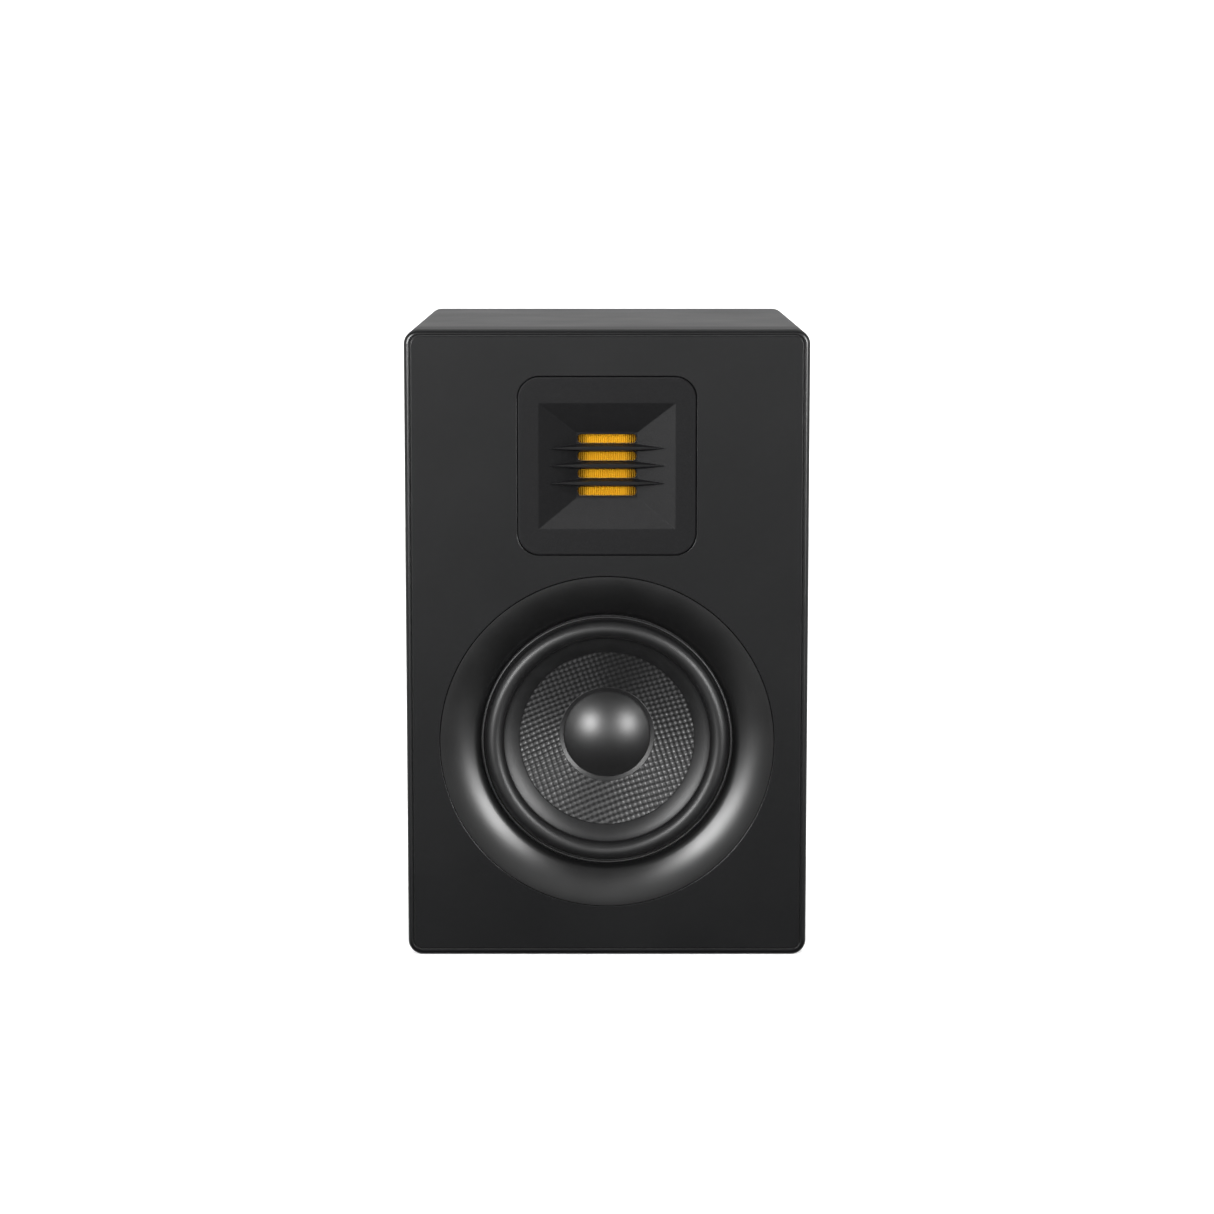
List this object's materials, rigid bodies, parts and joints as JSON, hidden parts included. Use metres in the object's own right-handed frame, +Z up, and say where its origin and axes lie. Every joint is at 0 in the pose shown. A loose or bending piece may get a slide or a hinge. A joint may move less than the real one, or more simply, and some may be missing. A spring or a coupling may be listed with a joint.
{
  "type": "bookshelf speaker",
  "caption": "Compact two-way bookshelf speaker with a woven-cone woofer, a folded-film tweeter, a rear reflex port and screw-down binding posts.",
  "frame": {"origin": "centre of the cabinet's underside", "axes": "-Y out of the front, +X to the right as seen from the front, +Z up"},
  "size_m": [0.175, 0.205, 0.275],
  "materials": {
    "baffle_paint": "fibreboard in satin charcoal paint",
    "cabinet_wrap": "fibreboard in fine-grained black vinyl",
    "bare_board": "bare fibreboard",
    "damping_foam": "open-cell acoustic foam",
    "faceplate_plastic": "fine-grained black moulding",
    "gasket_foam": "closed-cell sealing foam",
    "brass_insert": "plain turned brass",
    "black_screw": "black oxide steel",
    "plated_steel": "zinc-plated soft steel",
    "gold_film": "amber polyimide film with aluminium tracks",
    "circuit_laminate": "green glass-fibre laminate",
    "nickel_magnet": "nickel-plated magnet",
    "black_moulding": "plain black moulding",
    "grey_felt": "wool felt",
    "trim_satin": "satin black moulding",
    "basket_paint": "black powder-coated casting",
    "surround_rubber": "matt butyl rubber",
    "woven_fibre": "plain-woven black and grey fibre, lacquered",
    "cap_satin": "satin black pressed fibre",
    "former_film": "amber film",
    "copper": "enamelled copper",
    "spider_cloth": "resin-treated cotton",
    "ferrite": "sintered ferrite",
    "boot_rubber": "soft black cover",
    "fibre_strip": "hard brown fibre",
    "gold_plate": "gold-plated brass",
    "red_cap": "clear-coated red moulding",
    "black_cap": "clear-coated black moulding",
    "nickel_nut": "nickel-plated",
    "capacitor_wrap": "yellow film wrap",
    "ceramic": "cement-filled ceramic",
    "wire_black": "flexible insulation",
    "wire_red": "flexible insulation"
  },
  "bodies": {
    "cabinet": {"front_baffle": "baffle_paint", "left_panel": "cabinet_wrap", "right_panel": "cabinet_wrap", "top_panel": "cabinet_wrap", "bottom_panel": "cabinet_wrap", "back_panel": "cabinet_wrap", "window_brace": "bare_board", "acoustic_foam": "damping_foam", "tweeter_faceplate": "faceplate_plastic", "tweeter_gasket": "gasket_foam", "tweeter_inserts": "brass_insert", "tweeter_screws": "black_screw", "tweeter_front_pole": "plated_steel", "tweeter_diaphragm": "gold_film", "tweeter_diaphragm_frame": "circuit_laminate", "tweeter_magnets": "nickel_magnet", "tweeter_rear_pole": "plated_steel", "tweeter_rear_cup": "black_moulding", "tweeter_felt": "grey_felt", "tweeter_tabs": "brass_insert", "woofer_trim_ring": "trim_satin", "woofer_gasket": "gasket_foam", "woofer_basket": "basket_paint", "woofer_screws": "black_screw", "woofer_surround": "surround_rubber", "woofer_spider": "spider_cloth", "woofer_top_plate": "plated_steel", "woofer_magnet": "ferrite", "woofer_yoke": "plated_steel", "woofer_shorting_ring": "copper", "woofer_magnet_boot": "boot_rubber", "woofer_terminal_strip": "fibre_strip", "woofer_tinsel_leads": "copper", "port_flare": "black_moulding", "port_tube": "black_moulding", "terminal_cup": "black_moulding", "terminal_cup_gasket": "gasket_foam", "terminal_cup_screws": "black_screw", "post_collars": "black_moulding", "red_post_stud": "gold_plate", "black_post_stud": "gold_plate", "post_nuts": "nickel_nut", "crossover_board": "circuit_laminate", "crossover_inductors": "copper", "crossover_capacitors": "capacitor_wrap", "crossover_resistors": "ceramic", "crossover_standoffs": "nickel_nut", "input_wires": "wire_black", "woofer_wires": "wire_black", "tweeter_wires": "wire_red"},
    "woofer_cone_assembly": {"woofer_cone": "woven_fibre", "woofer_dust_cap": "cap_satin", "voice_coil_former": "former_film", "voice_coil_winding": "copper"},
    "red_washer": {"red_clamp_washer": "gold_plate"},
    "red_cap": {"red_post_cap": "red_cap"},
    "black_washer": {"black_clamp_washer": "gold_plate"},
    "black_cap": {"black_post_cap": "black_cap"}
  },
  "joints": [
    {"name": "woofer_stroke", "type": "slide", "parent": "cabinet", "child": "woofer_cone_assembly", "axis": [0, -1, 0], "range_m": [-0.004, 0.004], "stiffness_N_per_m": 1000, "deforming": ["woofer_surround", "woofer_spider", "woofer_tinsel_leads"]},
    {"name": "red_washer_lift", "type": "slide", "parent": "cabinet", "child": "red_washer", "axis": [0, 1, 0], "range_m": [0, 0.005]},
    {"name": "red_cap_turn", "type": "hinge", "parent": "red_washer", "child": "red_cap", "pos_m": [-0.0095, 0.092, 0.062], "axis": [0, 1, 0], "range_deg": [0, 1800]},
    {"name": "black_washer_lift", "type": "slide", "parent": "cabinet", "child": "black_washer", "axis": [0, 1, 0], "range_m": [0, 0.005]},
    {"name": "black_cap_turn", "type": "hinge", "parent": "black_washer", "child": "black_cap", "pos_m": [0.0095, 0.092, 0.062], "axis": [0, 1, 0], "range_deg": [0, 1800]}
  ],
  "couplings": [
    {"joint": "red_cap_turn", "follows": "red_washer_lift", "rad_per_m": 6283},
    {"joint": "black_cap_turn", "follows": "black_washer_lift", "rad_per_m": 6283}
  ]
}
